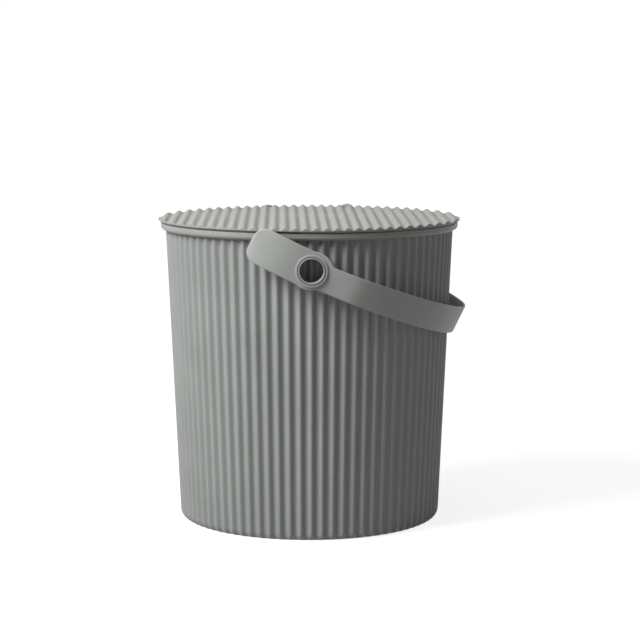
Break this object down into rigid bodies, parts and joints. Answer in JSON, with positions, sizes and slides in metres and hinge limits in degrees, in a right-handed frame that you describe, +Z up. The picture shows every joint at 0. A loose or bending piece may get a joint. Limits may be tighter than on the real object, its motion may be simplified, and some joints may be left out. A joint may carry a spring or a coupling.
{
  "type": "lidded bucket",
  "caption": "Round tapered plastic bucket with a ribbed wall, a rolled rim, a corrugated lift-off lid and a flat strap handle that swings on hollow bosses.",
  "frame": {"origin": "middle of the flat underside of the base, on the surface that the bucket stands on", "axes": "+Z up the bucket's axis; the handle's two pivots lie on the Y axis, and at rest the handle hangs down on the +X side"},
  "size_m": [0.291, 0.301, 0.2879],
  "materials": {
    "bucket_plastic": "grey moulded polypropylene, satin with a very fine grain",
    "lid_plastic": "warm light grey moulded polypropylene, satin with a very fine grain",
    "handle_plastic": "grey moulded polypropylene, smooth satin"
  },
  "bodies": {
    "bucket": {"bucket": "bucket_plastic"},
    "lid": {"lid": "lid_plastic"},
    "handle": {"handle": "handle_plastic"}
  },
  "joints": [
    {"name": "handle_swing", "type": "hinge", "parent": "bucket", "child": "handle", "pos_m": [0, 0, 0.2494], "axis": [0, -1, 0], "range_deg": [0, 224]},
    {"name": "lid_lift", "type": "slide", "parent": "bucket", "child": "lid", "axis": [0, 0, 1], "range_m": [0, 0.06]}
  ]
}
